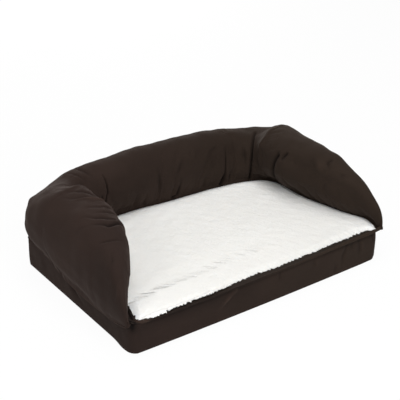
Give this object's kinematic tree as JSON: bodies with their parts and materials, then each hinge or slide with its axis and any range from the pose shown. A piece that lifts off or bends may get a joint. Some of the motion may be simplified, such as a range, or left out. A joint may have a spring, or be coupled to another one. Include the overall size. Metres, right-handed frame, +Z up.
{
  "type": "dog sofa bed",
  "caption": "Rectangular dog bed with a foam base, a white pile top, a stuffed bolster round three sides that tapers to the front corners, and a zip at the back.",
  "frame": {"origin": "middle of the base's underside, on the surface that the bed stands on", "axes": "+X along the bed's length to the right as seen from the front, -Y to the open front, +Z up"},
  "size_m": [0.8238, 0.5393, 0.2572],
  "materials": {
    "cover_cloth": "matt dark brown microfibre",
    "lining_cloth": "plain dark brown woven lining",
    "underside_cloth": "black non-slip cloth",
    "fleece": "off-white short pile",
    "support_foam": "open-cell foam",
    "memory_foam": "open-cell foam",
    "filling": "white inner cushion",
    "zip_plastic": "black moulded",
    "zip_cloth": "black woven tape",
    "zip_metal": "black enamel"
  },
  "bodies": {
    "bed": {"base_bottom_panel": "underside_cloth", "base_side_band": "cover_cloth", "zip_band_upper": "cover_cloth", "zip_band_lower": "cover_cloth", "zip_tape_upper": "zip_cloth", "zip_tape_lower": "zip_cloth", "zip_teeth_upper": "zip_plastic", "zip_teeth_lower": "zip_plastic", "zip_end_stops": "zip_metal", "support_foam": "support_foam", "memory_foam": "memory_foam", "deck_panel": "lining_cloth", "fleece_top": "fleece", "front_edge_roll": "cover_cloth", "bolster_bottom_lining": "lining_cloth", "left_arm_filling": "filling", "back_filling": "filling", "right_arm_filling": "filling", "left_arm_cover": "cover_cloth", "back_cover": "cover_cloth", "right_arm_cover": "cover_cloth"},
    "slider": {"zip_slider": "zip_metal"},
    "pull": {"zip_pull": "zip_metal"}
  },
  "joints": [
    {"name": "zip_slide", "type": "slide", "parent": "bed", "child": "slider", "axis": [-1, 0, 0], "range_m": [0, 0.535], "deforming": ["zip_teeth_upper", "zip_teeth_lower"]},
    {"name": "pull_hinge", "type": "hinge", "parent": "slider", "child": "pull", "pos_m": [0.2697, 0.26094, 0.038], "axis": [0, 0, -1], "range_deg": [0, 175]}
  ]
}
